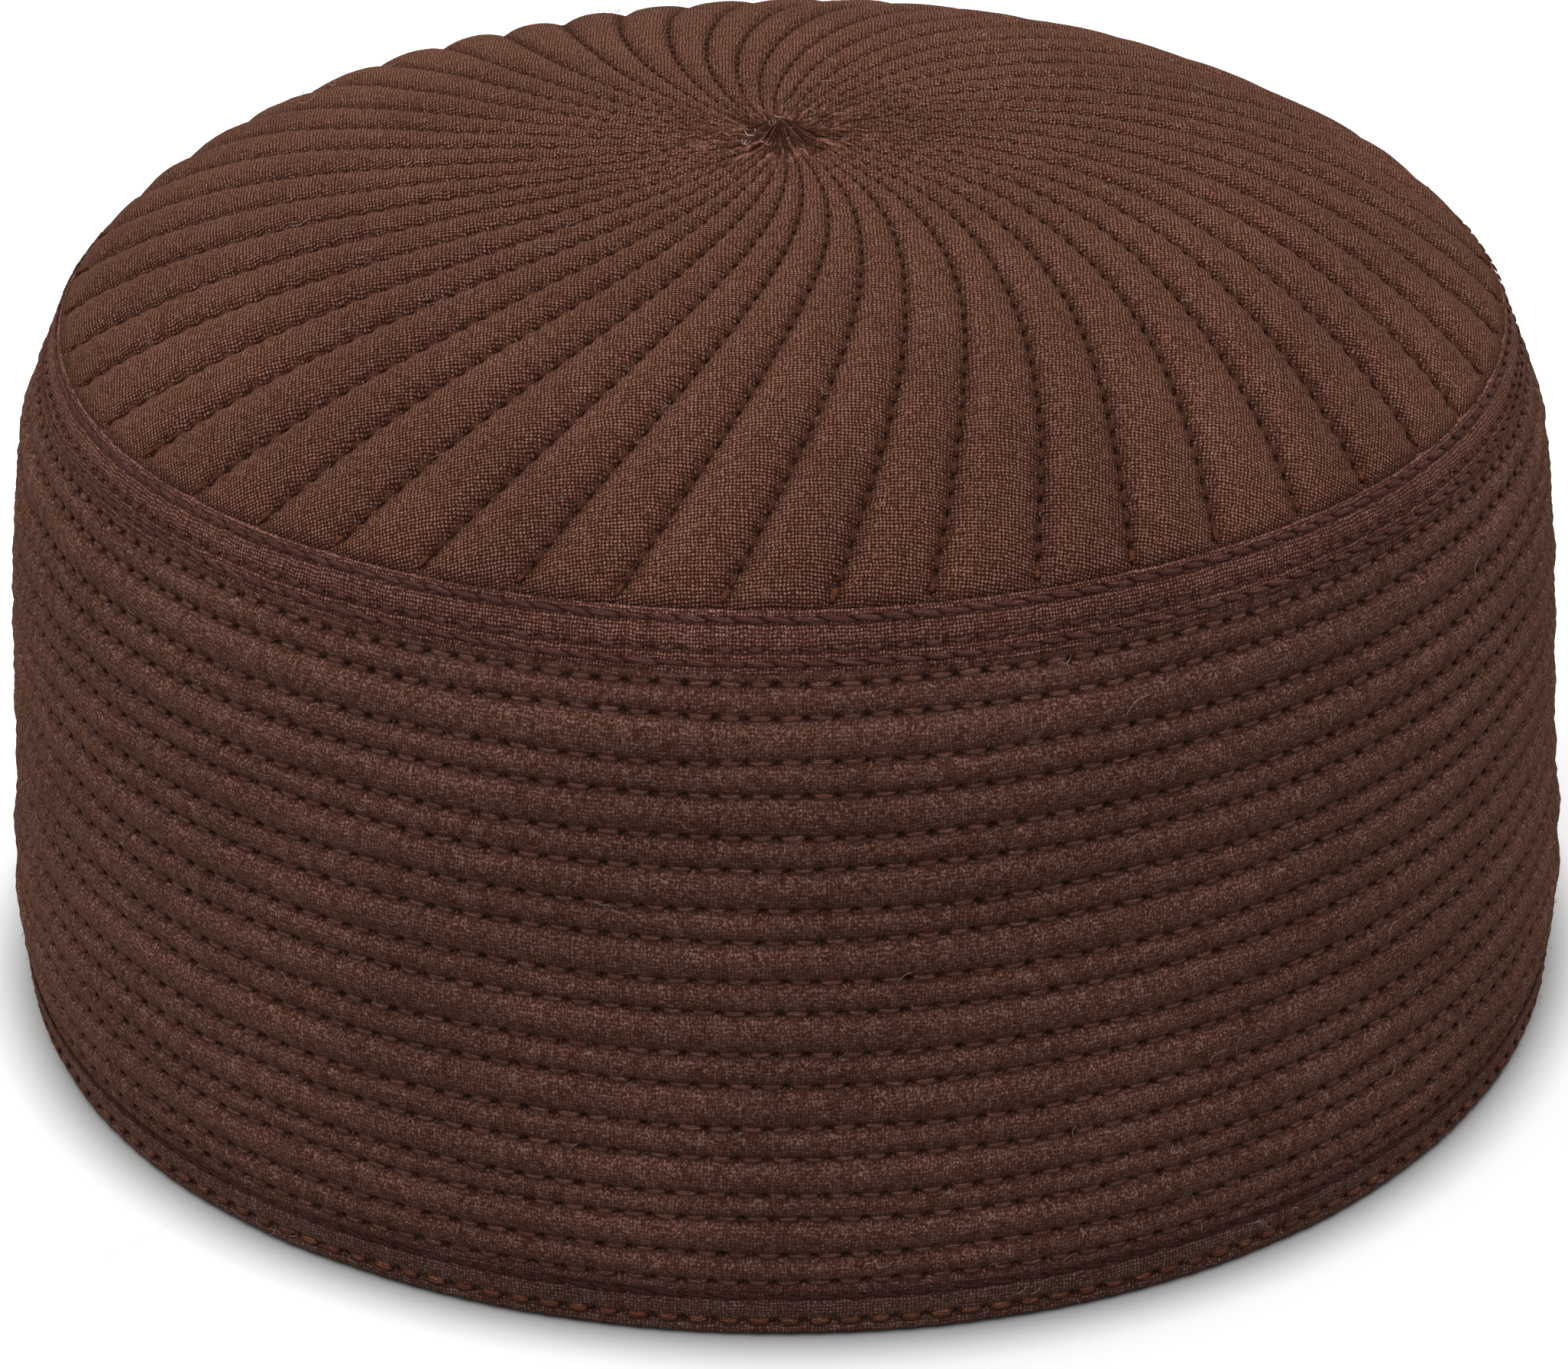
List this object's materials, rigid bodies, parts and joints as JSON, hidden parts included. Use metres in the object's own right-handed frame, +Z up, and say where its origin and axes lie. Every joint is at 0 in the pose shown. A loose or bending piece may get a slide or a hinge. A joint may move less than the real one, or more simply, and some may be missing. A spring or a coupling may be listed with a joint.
{
  "type": "prayer cap",
  "caption": "Round quilted cloth cap with a swirl-ribbed crown, a flat shoulder welt, a level-quilted wall and a turned hem.",
  "frame": {"origin": "middle of the rim, on the plane that the cap stands on", "axes": "+Z up through the middle of the crown; -Y is the side that faces the camera; the cap is round, so X and Y are alike"},
  "size_m": [0.1898, 0.1898, 0.1042],
  "materials": {
    "crown_cloth": "brown plain weave over wadding, matt, with rust-brown stitching",
    "welt_cloth": "brown plain weave strip, matt, with plum-brown stitching",
    "band_cloth": "brown plain weave over wadding, matt, with rust-brown stitching",
    "hem_cloth": "brown plain weave turned hem, matt, with plum-brown stitching"
  },
  "bodies": {
    "root": {"crown": "crown_cloth", "top_welt": "welt_cloth", "side_band": "band_cloth", "bottom_hem": "hem_cloth"}
  },
  "joints": []
}
